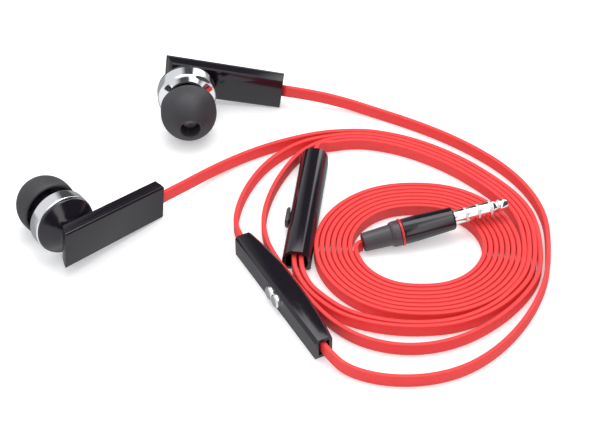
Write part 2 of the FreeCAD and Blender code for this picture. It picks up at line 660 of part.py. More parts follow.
# Cords
def bent_path(points):
    """Straight runs joined by tangent arcs, each arc as large as its two runs allow."""
    edges = []
    radii = []
    here = points[0]
    for before, corner, after in zip(points, points[1:], points[2:]):
        back = before - corner
        ahead = after - corner
        half_turn = (math.pi - back.getAngle(ahead)) / 2
        reach = 0.45 * min(back.Length, ahead.Length)
        back = back.normalize()
        ahead = ahead.normalize()
        start = corner + back * reach
        end = corner + ahead * reach
        radius = reach / math.tan(half_turn)
        inward = (back + ahead).normalize()
        middle = corner + inward * (radius / math.cos(half_turn) - radius)
        edges += [line(here, start), arc(start, middle, end)]
        radii.append(radius)
        here = end
    edges.append(line(here, points[-1]))
    wire = Part.Wire(edges)
    BEND_RADII.append(min(radii))
    return wire


def swept(path, section):
    return path.makePipeShell([section], True, False)


def cord_section(at, way):
    """The flat cord's section, standing on its narrow edge, square to the way it runs."""
    across = Vector(0, 0, 1).cross(way).normalize() * (CORD_THICKNESS / 2)
    up = way.cross(across).normalize() * (CORD_WIDTH / 2)
    return Part.makePolygon([at - across - up, at + across - up, at + across + up, at - across + up, at - across - up])


def free_cord(points):
    path = bent_path(points)
    return swept(path, cord_section(points[0], points[1] - points[0])), path.Length


def on_table(points):
    return [Vector(x, y, CORD_MID) for x, y in points]


def beside(points, steps):
    """A route that runs beside another one, on the outer side, by a number of cord steps."""
    shift = STRAND_STEP * steps
    moved = []
    for k, (x, y) in enumerate(points):
        before = points[max(k - 1, 0)]
        after = points[min(k + 1, len(points) - 1)]
        way_in = math.atan2(y - before[1], x - before[0]) if k else math.pi / 2
        way_out = math.atan2(after[1] - y, after[0] - x) if k < len(points) - 1 else way_in
        turn = math.remainder(way_out - way_in, 2 * math.pi)
        side = way_in + turn / 2 - math.pi / 2
        reach = shift / math.cos(turn / 2)
        moved.append((x + reach * math.cos(side), y + reach * math.sin(side)))
    return moved


def coil_path():
    """The cord's way from the plug into its coil: half turns about two centres, each a step wider."""
    left = Vector(COIL_LEFT[0], COIL_LEFT[1], CORD_MID)
    right = left + Vector(COIL_STRAIGHT, COIL_PITCH / 2, 0)
    way = -heading(PLUG_HEADING)
    start = Vector(PLUG_REAR[0], PLUG_REAR[1], CORD_MID)
    bend_in = start + way * COIL_START_RUN
    centre = bend_in + Vector(0, 0, 1).cross(way) * COIL_START_BEND
    sweep_end = centre + Vector(-COIL_START_BEND, 0, 0)
    sweep_mid = centre + ((bend_in - centre) + (sweep_end - centre)).normalize() * COIL_START_BEND
    edges = [line(start, bend_in), arc(bend_in, sweep_mid, sweep_end)]
    first = left + Vector(-COIL_RADIUS, 0, 0)
    if (sweep_end - first).Length > 1e-3:
        edges.append(line(sweep_end, first))
    slant = math.sqrt(0.5)
    for turn in range(COIL_TURNS):
        radius = COIL_RADIUS + turn * COIL_PITCH
        wide = radius + COIL_PITCH / 2
        if turn:
            edges.append(arc(left + Vector(0, radius, 0), left + Vector(-radius, 0, 0), left + Vector(0, -radius, 0)))
        else:
            edges.append(arc(first, left + Vector(-radius * slant, -radius * slant, 0), left + Vector(0, -radius, 0)))
        edges.append(line(left + Vector(0, -radius, 0), right + Vector(0, -wide, 0)))
        if turn < COIL_TURNS - 1:
            edges.append(arc(right + Vector(0, -wide, 0), right + Vector(wide, 0, 0), right + Vector(0, wide, 0)))
            edges.append(line(right + Vector(0, wide, 0), left + Vector(0, radius + COIL_PITCH, 0)))
        else:
            edges.append(arc(right + Vector(0, -wide, 0), right + Vector(wide * slant, -wide * slant, 0),
                             right + Vector(wide, 0, 0)))
            edges.append(line(right + Vector(wide, 0, 0), right + Vector(wide, COIL_START_RUN, 0)))
    return Part.Wire(edges), right + Vector(wide, COIL_START_RUN, 0)


def coil_gap(path):
    """The least gap between one turn and another, measured on points along the coil."""
    count = int(path.Length / 0.7)
    points = path.discretize(Number=count)
    step = path.Length / (count - 1)
    apart = int(25 / step)
    least = min((points[a] - points[b]).Length
                for a in range(0, count - apart) for b in range(a + apart, min(a + 4 * apart + 60, count)))
    return least - CORD_THICKNESS


def cord_pieces(ears):
    """Every stretch of cord, with its length."""
    path, coil_end = coil_path()
    way = -heading(PLUG_HEADING)
    coil = swept(path, cord_section(Vector(PLUG_REAR[0], PLUG_REAR[1], CORD_MID), way))
    print("coil: least gap %.2f mm" % coil_gap(path))
    side = [(coil_end.x, coil_end.y - COIL_START_RUN), (coil_end.x, coil_end.y + 7.0)] + BAND_ROUTE
    splitter = splitter_frame()
    closed_end = [splitter.multVec(Vector(SPLITTER_LENGTH + run, 0, CORD_EXIT_Z)) for run in (4.5, 0)]
    branches = [[splitter.multVec(Vector(x, spread, CORD_EXIT_Z)) for x in (MOUTH_DEPTH, -1.5)]
                for spread in (-BRANCH_SPREAD / 2, BRANCH_SPREAD / 2)]
    mic = mic_frame()
    mid_y = MIC_END_WIDTH / 2
    mic_far = [mic.multVec(Vector(x, mid_y, CORD_EXIT_Z)) for x in (-3.0, MIC_RECESS)]
    mic_near = [mic.multVec(Vector(MIC_LENGTH + x, mid_y, CORD_EXIT_Z)) for x in (-MIC_RECESS, 3.0)]
    ear_ends = {name: [point + way * EAR_RUN, point] for name, (_, point, way, _) in ears.items()}

    def to_ear(points, name):
        laid = on_table(points)
        laid[-1].z = EAR_APPROACH_Z
        return laid + ear_ends[name]

    routes = {
        "main_cord": [coil_end] + on_table(side[1:] + MAIN_LAST) + closed_end,
        "left_cord": branches[0] + to_ear(
            LEFT_CORD_FIRST + beside(side, 1) + LEFT_CORD_BEHIND_BAR + beside(side, 3)[1:] + LEFT_CORD_LAST,
            "left"),
        "mic_cord": branches[1] + on_table(MIC_CORD_FIRST + beside(side, 2) + MIC_CORD_LAST) + mic_far,
        "right_cord": mic_near + to_ear(RIGHT_CORD, "right"),
    }
    pieces = {"main_cord_coil": coil}
    lengths = {"main_cord_coil": path.Length}
    for name, points in routes.items():
        pieces[name], lengths[name] = free_cord(points)
        print("%s: least bend radius %.1f mm" % (name, BEND_RADII[-1]))
    for name, shape in pieces.items():
        share = shape.Volume / (CORD_WIDTH * CORD_THICKNESS * lengths[name])
        print("%s: length %.0f mm, volume over section times length %.4f" % (name, lengths[name], share))
    return pieces


BEND_RADII = []


def main():
    os.makedirs("parts", exist_ok=True)
    ears = {"left": earpiece(-1, LEFT_EAR), "right": earpiece(1, RIGHT_EAR)}
    pieces = {}
    for side, (ear, exit_point, exit_way, pull_way) in ears.items():
        for name, shape in ear.items():
            pieces[side + "_" + name] = shape
        print(side, "cord exit", exit_point, "way", exit_way, "tip pulls along", pull_way)
    for name, shape in splitter_pieces().items():
        pieces[name] = placed(shape, splitter_frame())
    for name, shape in mic_pieces().items():
        pieces[name] = placed(shape, mic_frame())
    pieces.update(plug_pieces())
    pieces.update(cord_pieces(ears))
    for name, shape in pieces.items():
        if not shape.isValid() or not shape.Solids:
            raise ValueError(name + " is not a valid solid")
        shape.translate(Vector(ORIGIN_SHIFT[0], ORIGIN_SHIFT[1], 0))
        shape.exportStep("parts/" + name + ".step")
    box = Part.makeCompound([shape for name, shape in pieces.items() if name.startswith(("left_", "right_"))
                             and "cord" not in name]).BoundBox
    print("earpieces: X %.2f %.2f Y %.2f %.2f Z %.3f %.3f" % (box.XMin, box.XMax, box.YMin, box.YMax, box.ZMin, box.ZMax))
    print(len(pieces), "pieces")


main()
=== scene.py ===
"""Wired in-ear earphones with a flat red cord: finishes, cords, stage and camera."""
import json
import math

import bmesh
import bpy
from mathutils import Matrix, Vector


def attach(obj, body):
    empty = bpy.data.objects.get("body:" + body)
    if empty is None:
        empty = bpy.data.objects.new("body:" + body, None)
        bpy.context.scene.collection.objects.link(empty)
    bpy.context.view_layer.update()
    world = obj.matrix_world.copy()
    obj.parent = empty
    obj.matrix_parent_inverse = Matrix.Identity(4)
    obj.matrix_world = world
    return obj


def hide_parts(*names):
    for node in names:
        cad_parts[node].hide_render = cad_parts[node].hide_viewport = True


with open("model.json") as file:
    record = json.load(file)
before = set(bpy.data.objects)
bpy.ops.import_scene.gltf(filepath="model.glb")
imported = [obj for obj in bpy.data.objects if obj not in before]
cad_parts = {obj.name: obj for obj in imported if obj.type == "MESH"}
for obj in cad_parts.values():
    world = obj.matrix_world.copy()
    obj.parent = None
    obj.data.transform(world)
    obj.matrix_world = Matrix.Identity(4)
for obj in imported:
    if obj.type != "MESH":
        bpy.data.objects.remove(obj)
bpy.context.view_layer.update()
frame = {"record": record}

bl_info = {
    "name": "Wired earphones",
    "version": (1, 0, 0),
    "blender": (4, 5, 0),
    "location": "View3D > Sidebar > Earphones",
    "description": "Builds the finishes, cords and stage of a pair of wired earphones",
    "category": "Object",
}

MM = 0.001

# From the laying-out point to the middle below the two earpieces, in millimetres
ORIGIN_SHIFT = Vector((-0.26, 1.94, 0.0))


def row(x, y, z=0.0):
    """A laying-out point in millimetres as a point of the row frame in metres."""
    return (Vector((x, y, z)) + ORIGIN_SHIFT) * MM


# Cord routes in millimetres, as the part's source has them
BAND_ROUTE = [(86.4, -13.6), (80.4, -5.8), (72.9, 1.6), (63.5, 7.8), (54.5, 10.9), (48.6, 11.2)]
MAIN_LAST = [(43.2, 9.9)]
LEFT_CORD_FIRST = [(37.9, -42.8), (41.3, -47.2), (46.4, -52.1), (53.8, -55.1), (62.2, -56.3),
                   (71.6, -55.2), (80.4, -50.3), (87.2, -42.0), (89.6, -35.8)]
LEFT_CORD_BEHIND_BAR = [(42.6, 11.3), (38.0, 8.2), (34.4, 3.9), (30.8, -3.6), (28.4, -11.0),
                        (27.1, -19.0), (27.7, -26.6), (30.1, -33.4), (33.8, -40.5), (38.2, -48.3),
                        (43.2, -55.6), (50.2, -61.4), (60.4, -64.0), (71.6, -61.5), (81.9, -54.0),
                        (89.4, -44.6), (92.6, -36.4)]
LEFT_CORD_LAST = [(41.2, 14.3), (32.4, 11.3), (23.2, 6.6), (14.4, -0.6)]
MIC_CORD_FIRST = [(36.4, -42.8), (40.0, -48.3), (45.5, -53.6), (53.6, -56.6), (62.3, -57.6),
                  (72.3, -56.4), (81.5, -51.2), (88.7, -42.6), (90.9, -36.0)]
MIC_CORD_LAST = [(43.1, 12.7), (37.2, 10.9), (32.1, 7.2), (27.3, 1.6), (23.7, -5.4), (21.3, -13.0),
                 (20.4, -20.0)]
RIGHT_CORD = [(46.6, -70.4), (54.6, -73.3), (64.4, -73.2), (73.6, -69.7), (81.9, -62.3), (88.7, -52.2),
              (93.5, -40.4), (95.0, -28.0), (95.2, -19.0), (93.0, -10.0), (88.4, -1.3), (81.8, 6.4),
              (73.6, 13.4), (64.6, 19.3), (55.6, 24.2), (47.2, 27.9)]
CORD_WIDTH = 3.1
CORD_MID = CORD_WIDTH / 2 + 0.03
STRAND_STEP = 1.3
EXIT_HEIGHT = 2.7
COIL_TURNS = 8
COIL_PITCH = 1.34
COIL_RADIUS = 13.8
COIL_LEFT = (63.0, -30.0)
COIL_RIGHT = (65.25, -29.33)
PLUG_REAR = (50.785, -28.15)
PLUG_HEADING = 15.2
COIL_STEPS = 16
SPLITTER = (35.15, -35.0, 83.4)
SPLITTER_LENGTH = 39.4
MIC_BAR = (20.7, -29.5, -62.3)
BRANCH_SPREAD = 0.85
MIC_LENGTH = 40.2
MIC_MIDDLE = 2.15
LEFT_EAR_EXIT = ((1.8011, -14.4876, 4.5213), (0.68653, 0.71841, -0.11211))
RIGHT_EAR_EXIT = ((31.2948, 29.8612, 4.5213), (0.98961, -0.09006, -0.11211))


def from_frame(place, x, y, z):
    """A point of a housing laid at a plan place and heading."""
    turn = math.radians(place[2])
    return (place[0] + x * math.cos(turn) - y * math.sin(turn),
            place[1] + x * math.sin(turn) + y * math.cos(turn), z)


def beside(points, steps):
    """A route that runs beside another one, on the outer side, by a number of cord steps."""
    shift = STRAND_STEP * steps
    moved = []
    for k, (x, y) in enumerate(points):
        before = points[max(k - 1, 0)]
        after = points[min(k + 1, len(points) - 1)]
        way_in = math.atan2(y - before[1], x - before[0]) if k else math.pi / 2
        way_out = math.atan2(after[1] - y, after[0] - x) if k < len(points) - 1 else way_in
        turn = math.remainder(way_out - way_in, 2 * math.pi)
        side = way_in + turn / 2 - math.pi / 2
        reach = shift / math.cos(turn / 2)
        moved.append((x + reach * math.cos(side), y + reach * math.sin(side)))
    return moved


def coil_route():
    """The coil's control points from the plug outwards, worked out turn by turn."""
    grow = 1 / math.cos(math.pi / COIL_STEPS)
    step = 360 / COIL_STEPS
    corner_x = COIL_LEFT[0] - COIL_RADIUS
    corner_run = (PLUG_REAR[0] - corner_x) / math.cos(math.radians(PLUG_HEADING))
    points = [PLUG_REAR, (corner_x, PLUG_REAR[1] - corner_run * math.sin(math.radians(PLUG_HEADING)))]
    for turn in range(COIL_TURNS):
        for k in range(COIL_STEPS):
            angle = 90 + step * (k + 0.5)
            if turn == 0 and angle < 180:
                continue
            if turn == COIL_TURNS - 1 and angle > 360:
                continue
            left = angle < 270
            centre = COIL_LEFT if left else COIL_RIGHT
            radius = (COIL_RADIUS + turn * COIL_PITCH + (0 if left else COIL_PITCH / 2)) * grow
            points.append((centre[0] + radius * math.cos(math.radians(angle)),
                           centre[1] + radius * math.sin(math.radians(angle))))
    return points


def on_table(points):
    return [(x, y, CORD_MID) for x, y in points]


def ear_end(ear_exit):
    """The last two points of a cord that runs straight into an earpiece's bar."""
    (x, y, z), (dx, dy, dz) = ear_exit
    return [(x + 7.5 * dx, y + 7.5 * dy, z + 7.5 * dz), (x, y, z)]


def to_ear(points, ear_exit):
    laid = on_table(points)
    laid[-1] = (laid[-1][0], laid[-1][1], 2.2)
    return laid + ear_end(ear_exit)


def routes():
    """Every cord's control points, each from the housing that it leaves."""
    side_x = COIL_RIGHT[0] + COIL_RADIUS + (COIL_TURNS - 0.5) * COIL_PITCH
    side = [(side_x, COIL_RIGHT[1]), (side_x, COIL_RIGHT[1] + 7.58)] + BAND_ROUTE
    closed_end = [from_frame(SPLITTER, SPLITTER_LENGTH + run, 0, EXIT_HEIGHT) for run in (4.5, 0)]
    branches = [[from_frame(SPLITTER, x, spread, EXIT_HEIGHT) for x in (5.0, -1.5)]
                for spread in (-BRANCH_SPREAD, BRANCH_SPREAD)]
    mic_far = [from_frame(MIC_BAR, x, MIC_MIDDLE, EXIT_HEIGHT) for x in (-3.0, 1.5)]
    mic_near = [from_frame(MIC_BAR, MIC_LENGTH + x, MIC_MIDDLE, EXIT_HEIGHT) for x in (-1.5, 3.0)]
    main = on_table(coil_route() + side[1:] + MAIN_LAST) + closed_end
    left = branches[0] + to_ear(
        LEFT_CORD_FIRST + beside(side, 1) + LEFT_CORD_BEHIND_BAR + beside(side, 3)[1:] + LEFT_CORD_LAST,
        LEFT_EAR_EXIT)
    mic = branches[1] + on_table(MIC_CORD_FIRST + beside(side, 2) + MIC_CORD_LAST) + mic_far
    right = mic_near + to_ear(RIGHT_CORD, RIGHT_EAR_EXIT)
    laid = {"main_cord": main, "left_cord": left, "mic_cord": mic, "right_cord": right}
    return {name: route[::-1] for name, route in laid.items()}


# Shader maths
class Sum:
    """One socket of a node tree, so that shader maths reads as an expression."""

    def __init__(self, graph, socket):
        self.graph = graph
        self.socket = socket

    def _maths(self, operation, *values):
        return self.graph.node("ShaderNodeMath", {"operation": operation}, list(values))

    def __add__(self, other):
        return self._maths("ADD", self, other)

    __radd__ = __add__

    def __sub__(self, other):
        return self._maths("SUBTRACT", self, other)

    def __rsub__(self, other):
        return self._maths("SUBTRACT", other, self)

    def __mul__(self, other):
        return self._maths("MULTIPLY", self, other)

    __rmul__ = __mul__

    def clamp(self):
        return self.graph.node("ShaderNodeClamp", {}, {0: self, 1: 0.0, 2: 1.0})


class Graph:
    """A material or world node tree with one method that makes any node."""

    def __init__(self, tree):
        self.tree = tree
        tree.nodes.clear()

    def node(self, kind, settings=None, values=None, output=0):
        made = self.tree.nodes.new(kind)
        for name, value in (settings or {}).items():
            if name == "stops":
                self._stops(made.color_ramp, value)
            else:
                setattr(made, name, value)
        pairs = values.items() if isinstance(values, dict) else enumerate(values or [])
        for name, value in pairs:
            if isinstance(value, Sum):
                self.tree.links.new(value.socket, made.inputs[name])
            else:
                made.inputs[name].default_value = value
        return Sum(self, made.outputs[output]) if len(made.outputs) else None

    @staticmethod
    def _stops(ramp, stops):
        while len(ramp.elements) < len(stops):
            ramp.elements.new(0.5)
        for element, (place, colour) in zip(ramp.elements, stops):
            element.position = place
            element.color = colour

    def mix(self, share, a, b):
        return self.node("ShaderNodeMix", {"data_type": "RGBA"}, {0: share, 6: a, 7: b}, 2)

    def noise(self, scale, detail=3.0, rough=0.5):
        place = self.node("ShaderNodeTexCoord", output=3)
        return self.node("ShaderNodeTexNoise", {}, {"Vector": place, "Scale": scale, "Detail": detail,
                                                    "Roughness": rough})

    def bump(self, height, strength, distance):
        return self.node("ShaderNodeBump", {}, {"Strength": strength, "Distance": distance, "Height": height})


def material(name):
    made = bpy.data.materials.new(name)
    made.use_nodes = True
    return made, Graph(made.node_tree)


def finish_with(graph, **sockets):
    """Ends a material in one Principled shader with these socket values."""
    surface = graph.node("ShaderNodeBsdfPrincipled", {}, {k.replace("_", " "): v for k, v in sockets.items()})
    graph.node("ShaderNodeOutputMaterial", {}, {"Surface": surface})


def rgb(colour):
    return (colour[0], colour[1], colour[2], 1.0)


def cord_rubber(colour):
    """Satin elastomer: a slightly cloudy red with a fine skin."""
    made, g = material("cord_rubber")
    cloud = g.noise(180, 2)
    base = g.mix(cloud, rgb([c * 0.93 for c in colour]), rgb([min(1, c * 1.06) for c in colour]))
    skin = g.noise(5200, 2)
    finish_with(g, Base_Color=base, Roughness=0.42 + 0.12 * g.noise(900, 2), Specular_IOR_Level=0.42,
                Normal=g.bump(skin, 0.12, 0.00004))
    return made


def polished_plastic(name, colour, rough):
    """Injection-moulded plastic with a faint flow ripple and tiny specks of dust."""
    made, g = material(name)
    dust = (g.noise(3500, 1) - 0.72).clamp() * 0.4
    base = g.mix(dust, rgb(colour), (0.25, 0.24, 0.24, 1.0))
    finish_with(g, Base_Color=base, Roughness=rough + 0.06 * g.noise(700, 2),
                Normal=g.bump(g.noise(240, 2), 0.05, 0.0001))
    return made


def matt_plastic(name, colour, rough=0.5):
    """Spark-eroded matt plastic with a fine even grain."""
    made, g = material(name)
    grain = g.noise(6500, 2, 0.6)
    base = g.mix(grain, rgb([c * 0.85 for c in colour]), rgb([c * 1.15 for c in colour]))
    finish_with(g, Base_Color=base, Roughness=rough + 0.1 * g.noise(1200, 2),
                Normal=g.bump(grain, 0.35, 0.00003))
    return made


def silicone(name, colour):
    """Soft silicone that holds a little dust and gives a broad sheen."""
    made, g = material(name)
    cloud = g.noise(350, 3)
    base = g.mix(cloud, rgb([c * 0.85 for c in colour]), rgb([c * 1.2 for c in colour]))
    finish_with(g, Base_Color=base, Roughness=0.48 + 0.14 * g.noise(1500, 2), Specular_IOR_Level=0.5,
                Normal=g.bump(g.noise(4200, 3), 0.18, 0.00004))
    return made


def plated_metal(name, colour, rough):
    """Bright plating with faint handling marks."""
    made, g = material(name)
    marks = g.noise(1800, 4, 0.65)
    finish_with(g, Base_Color=g.mix(marks, rgb([c * 0.96 for c in colour]), rgb(colour)), Metallic=1.0,
                Roughness=rough + 0.05 * marks, Normal=g.bump(g.noise(300, 1), 0.03, 0.0001))
    return made


def woven_mesh(name, colour):
    """A fine woven metal mesh: round holes in a regular grid, painted near-black as painted shade of the
    chamber behind them.
    """
    made, g = material(name)
    place = g.node("ShaderNodeTexCoord", output=3)
    cells = g.node("ShaderNodeTexVoronoi", {}, {"Vector": place, "Scale": 2600.0, "Randomness": 0.0})
    wires = ((cells - 0.22) * 6).clamp()
    # The holes get near-black: painted shade of the dark chamber seen through them, not real openings
    finish_with(g, Base_Color=g.mix(wires, (0.01, 0.01, 0.01, 1), rgb(colour)), Metallic=wires,
                Roughness=0.3 + 0.1 * g.noise(900, 2), Normal=g.bump(wires, 0.6, 0.00005))
    return made


FINISHES = {
    "silicone": lambda s: silicone("tip_silicone", (0.034, 0.031, 0.036)),
    "gloss_black": lambda s: polished_plastic("gloss_black", (0.010, 0.007, 0.012), 0.10),
    "matt_black": lambda s: matt_plastic("matt_black", (0.056, 0.050, 0.058), 0.34),
    "chrome_trim": lambda s: plated_metal("chrome_trim", (0.80, 0.81, 0.83), 0.06),
    # The mesh's grey is set dark: partly the mesh's own dark tone, partly painted shade of the deep hole in
    # the tip
    "sound_mesh": lambda s: woven_mesh("sound_mesh", (0.30, 0.29, 0.31)),
    "red_cord": lambda s: cord_rubber(tuple(s.cord_colour)),
    "red_band": lambda s: polished_plastic("red_band", (0.62, 0.02, 0.03), 0.2),
    "silver_button": lambda s: plated_metal("silver_button", (0.78, 0.78, 0.79), 0.16),
    "jack_metal": lambda s: plated_metal("jack_metal", (0.86, 0.84, 0.82), 0.07),
    "insulator": lambda s: matt_plastic("insulator", (0.75, 0.74, 0.72), 0.4),
    "driver_steel": lambda s: plated_metal("driver_steel", (0.5, 0.5, 0.5), 0.3),
    "driver_magnet": lambda s: plated_metal("driver_magnet", (0.35, 0.35, 0.37), 0.25),
    "copper": lambda s: plated_metal("enamelled_copper", (0.72, 0.33, 0.18), 0.3),
    "clear_film": lambda s: polished_plastic("film", (0.5, 0.5, 0.45), 0.2),
    "board": lambda s: matt_plastic("board", (0.03, 0.16, 0.06), 0.45),
}
MADE = {}


def finish(slot):
    """The finish of one material slot, made once."""
    if slot not in MADE:
        MADE[slot] = FINISHES[slot](bpy.context.scene.earphone_cords)
    return MADE[slot]


# Cords
def spline_points(name, route):
    """Lays a smooth spline on the route's control points and reads its points back."""
    curve = bpy.data.curves.new(name + "_route", "CURVE")
    curve.dimensions = "3D"
    curve.resolution_u = 8
    spline = curve.splines.new("NURBS")
    spline.points.add(len(route) - 1)
    for point, (x, y, z) in zip(spline.points, route):
        point.co = (*row(x, y, z), 1.0)
    spline.order_u = 3
    spline.use_endpoint_u = True
    holder = bpy.data.objects.new(name + "_route", curve)
    mesh = bpy.data.meshes.new_from_object(holder)
    points = [v.co.copy() for v in mesh.vertices]
    bpy.data.objects.remove(holder)
    bpy.data.curves.remove(curve)
    bpy.data.meshes.remove(mesh)
    return points


def cord_section(width, thickness, corner):
    """The flat cord's section: a bar with round corners, as (across, up) pairs."""
    section = []
    for sx, sy, start in ((1, 1, 0), (-1, 1, 90), (-1, -1, 180), (1, -1, 270)):
        for k in range(5):
            angle = math.radians(start + 22.5 * k)
            section.append((sx * (thickness / 2 - corner) + corner * math.cos(angle),
                            sy * (width / 2 - corner) + corner * math.sin(angle)))
    return section


def sweep(name, points, section):
    """Sweeps a section along points, its long side kept upright, with closed ends."""
    rings = []
    mesh = bmesh.new()
    for k, here in enumerate(points):
        way = (points[min(k + 1, len(points) - 1)] - points[max(k - 1, 0)]).normalized()
        across = Vector((0, 0, 1)).cross(way).normalized()
        up = way.cross(across)
        rings.append([mesh.verts.new(here + across * a * MM + up * u * MM) for a, u in section])
    count = len(section)
    for near, far in zip(rings, rings[1:]):
        for k in range(count):
            mesh.faces.new((near[k], near[(k + 1) % count], far[(k + 1) % count], far[k]))
    mesh.faces.new(rings[0][::-1])
    mesh.faces.new(rings[-1])
    for face in mesh.faces:
        face.smooth = len(face.verts) == 4
    bmesh.ops.recalc_face_normals(mesh, faces=mesh.faces)
    data = bpy.data.meshes.new(name)
    mesh.to_mesh(data)
    mesh.free()
    made = bpy.data.objects.new(name, data)
    bpy.context.scene.collection.objects.link(made)
    return made


# Turned pieces, in millimetres along their own axis
POD = {"cup_end": 4.3, "ring_end": 8.2, "ring": 7.5, "face": 5.3, "neck": 3.0, "throat": 5.0, "shoulder": 9.9,
       "nozzle": 2.2, "lip": 2.38, "nozzle_end": 17.7, "mesh_seat": 1.86, "bore": 1.5}
TIP = {"start": 11.2, "end": 20.4, "radius": 7.1, "full": 2.6, "nose": 3.0, "heel": 10.0, "bore": 2.44,
       "sleeve": 3.19, "skin": 0.7}
PLUG = {"relief": 7.0, "collar": 3.1, "band": 9.3, "barrel": 9.9, "nose": 22.8, "jack": 1.75,
        "sleeve": 2.75, "pole": 2.6, "gap": 0.5, "point": 4.3, "core": 0.95, "inside": 2.0,
        "band_radius": 3.28}
AROUND = 96
SHARP = 38

# Eased pieces: metres between points that are one, and the angles of flat faces and of eased edges
WELD = 2e-6
FLAT = 1.5
EASED = 28


def rounded(profile, radius, steps=4):
    """The same profile with each corner drawn round by up to a radius."""
    soft = [profile[0]]
    for before, corner, after in zip(profile, profile[1:], profile[2:]):
        near = math.dist(before, corner)
        far = math.dist(corner, after)
        reach = min(radius, 0.45 * near, 0.45 * far)
        start = [c + (b - c) * reach / near for b, c in zip(before, corner)]
        end = [c + (a - c) * reach / far for a, c in zip(after, corner)]
        for k in range(steps + 1):
            t = k / steps
            soft.append(tuple((1 - t) ** 2 * a + 2 * t * (1 - t) * c + t * t * b
                              for a, c, b in zip(start, corner, end)))
    return soft + [profile[-1]]


def turned(name, place, axis, profile, slot, body, node, closed=False, sharp=SHARP):
    """A piece of (along, radius) points turned about an axis through a place, standing for a node."""
    way = Vector(axis).normalized()
    side = way.cross(Vector((0, 0, 1))).normalized()
    up = side.cross(way)
    mesh = bmesh.new()
    rings = []
    turn = [2 * math.pi * k / AROUND for k in range(AROUND)]
    spokes = [side * math.cos(angle) + up * math.sin(angle) for angle in turn]
    for along, radius in profile:
        centre = Vector(place) + way * along * MM
        if radius < 1e-6:
            rings.append([mesh.verts.new(centre)])
        else:
            rings.append([mesh.verts.new(centre + spoke * radius * MM) for spoke in spokes])
    pairs = list(zip(rings, rings[1:]))
    if closed:
        pairs.append((rings[-1], rings[0]))
    for near, far in pairs:
        for k in range(AROUND):
            corners = [near[k % len(near)], near[(k + 1) % len(near)],
                       far[(k + 1) % len(far)], far[k % len(far)]]
            mesh.faces.new(list(dict.fromkeys(corners)))
    return settle(name, mesh, slot, body, node, sharp)


def settle(name, mesh, slot, body, node, sharp=SHARP):
    """Turns finished mesh work into a piece with its finish, on its body, in place of its node."""
    bmesh.ops.recalc_face_normals(mesh, faces=mesh.faces)
    for face in mesh.faces:
        face.smooth = True
    for edge in mesh.edges:
        if len(edge.link_faces) == 2 and edge.calc_face_angle() > math.radians(sharp):
            edge.smooth = False
    data = bpy.data.meshes.new(name)
    mesh.to_mesh(data)
    mesh.free()
    data.materials.append(finish(slot))
    made = bpy.data.objects.new(name, data)
    bpy.context.scene.collection.objects.link(made)
    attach(made, body)
    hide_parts(node)
    return made


def mount(name):
    """The place and axis of one of the record's mounts."""
    for entry in frame["record"]["mounts"]:
        if entry["name"] == name:
            return Vector(entry["pos_m"]), Vector(entry["axis"]).normalized()
    raise RuntimeError("missing mount " + name)


def pod_start(side):
    """The pod's axis and the point where it leaves the bar's inner face."""
    place, axis = mount(side + "_tip")
    return place - axis * TIP["end"] * MM, axis


def moulded(node, width, slot, body="earphones"):
    """A node's own form with its edges eased, as a mould leaves them."""
    source = bpy.data.objects[node]
    mesh = bmesh.new()
    mesh.from_mesh(source.data)
    bmesh.ops.remove_doubles(mesh, verts=mesh.verts, dist=WELD)
    bmesh.ops.dissolve_limit(mesh, angle_limit=math.radians(FLAT), verts=mesh.verts, edges=mesh.edges)
    data = bpy.data.meshes.new(node + "_form")
    mesh.to_mesh(data)
    mesh.free()
    holder = bpy.data.objects.new(node + "_form", data)
    bpy.context.scene.collection.objects.link(holder)
    ease = holder.modifiers.new("ease", "BEVEL")
    ease.width = width * MM
    ease.segments = 3
    ease.limit_method = "ANGLE"
    ease.angle_limit = math.radians(EASED)
    ease.use_clamp_overlap = True
    ease.miter_outer = "MITER_ARC"
    bpy.context.view_layer.update()
    eased = bpy.data.meshes.new_from_object(holder.evaluated_get(bpy.context.evaluated_depsgraph_get()))
    mesh = bmesh.new()
    mesh.from_mesh(eased)
    bpy.data.objects.remove(holder)
    bpy.data.meshes.remove(data)
    bpy.data.meshes.remove(eased)
    return settle(node + "_moulded", mesh, slot, body, node)


class EARPHONES_OT_tips(bpy.types.Operator):
    """Make the two silicone ear tips"""
    bl_idname = "earphones.tips"
    bl_label = "Ear tips"

    def execute(self, context):
        full = TIP["start"] + TIP["full"]
        reach = TIP["end"] - 0.25 - full
        top = (TIP["nose"] + 0.45) / TIP["radius"]
        dome = reach / math.sqrt(1 - top ** 2)
        outer = [(TIP["start"], TIP["radius"] - 0.45), (TIP["start"], TIP["radius"] - 0.3),
                 (TIP["start"] + 0.15, TIP["radius"] - 0.16), (TIP["start"] + 1.2, TIP["radius"] - 0.04)]
        for k in range(15):
            along = reach * k / 14
            outer.append((full + along, TIP["radius"] * math.sqrt(1 - (along / dome) ** 2)))
        nose = rounded([outer[-1], (TIP["end"], TIP["nose"]), (TIP["end"], TIP["bore"] + 0.1),
                        (TIP["end"] - 0.5, TIP["bore"]), (TIP["heel"], TIP["bore"])], 0.3)
        web = TIP["end"] - 3.4
        under = [(TIP["heel"], TIP["sleeve"]), (web - 0.8, TIP["sleeve"]), (web, TIP["sleeve"] + 0.8),
                 (web, TIP["radius"] - 2.9 - TIP["skin"]),
                 (TIP["start"] + 4.7, TIP["radius"] - 0.7 - TIP["skin"]),
                 (full, TIP["radius"] - TIP["skin"]), (TIP["start"], TIP["radius"] - 0.7)]
        for side in ("left", "right"):
            place, axis = pod_start(side)
            turned(side + "_tip_silicone", place, axis, outer + nose[1:] + rounded(under, 0.4), "silicone",
                   side + "_tip", side + "_ear_tip", closed=True, sharp=60)
        return {"FINISHED"}


